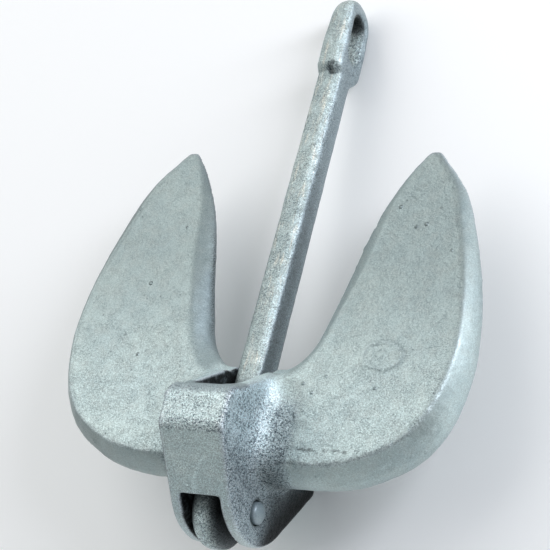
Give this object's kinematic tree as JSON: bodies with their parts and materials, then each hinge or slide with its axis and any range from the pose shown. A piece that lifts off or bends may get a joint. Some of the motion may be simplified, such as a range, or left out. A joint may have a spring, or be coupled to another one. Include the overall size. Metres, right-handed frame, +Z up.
{
  "type": "navy anchor",
  "caption": "Small stockless Navy anchor in galvanised cast iron: a crown with two flat pointed flukes, and a straight shank with an eye that swings on a cross pin.",
  "frame": {"origin": "middle of the base of the bounding box: the anchor lies on its back on the floor", "axes": "+X along the cross pin to the right, +Y along the anchor from the crown to the shank's eye, +Z up, out of the front faces of the flukes"},
  "size_m": [0.2768, 0.3798, 0.1288],
  "materials": {
    "head_zinc": "hot-dip galvanised over sand-cast iron",
    "shank_zinc": "hot-dip galvanised over sand-cast iron",
    "pin_zinc": "galvanised steel"
  },
  "bodies": {
    "head": {"head_casting": "head_zinc", "crown_pin": "pin_zinc"},
    "shank_arm": {"shank": "shank_zinc"}
  },
  "joints": [
    {"name": "shank_swing", "type": "hinge", "parent": "head", "child": "shank_arm", "pos_m": [0, -0.16578, 0.06857], "axis": [1, 0, 0], "range_deg": [-25, 30]}
  ]
}
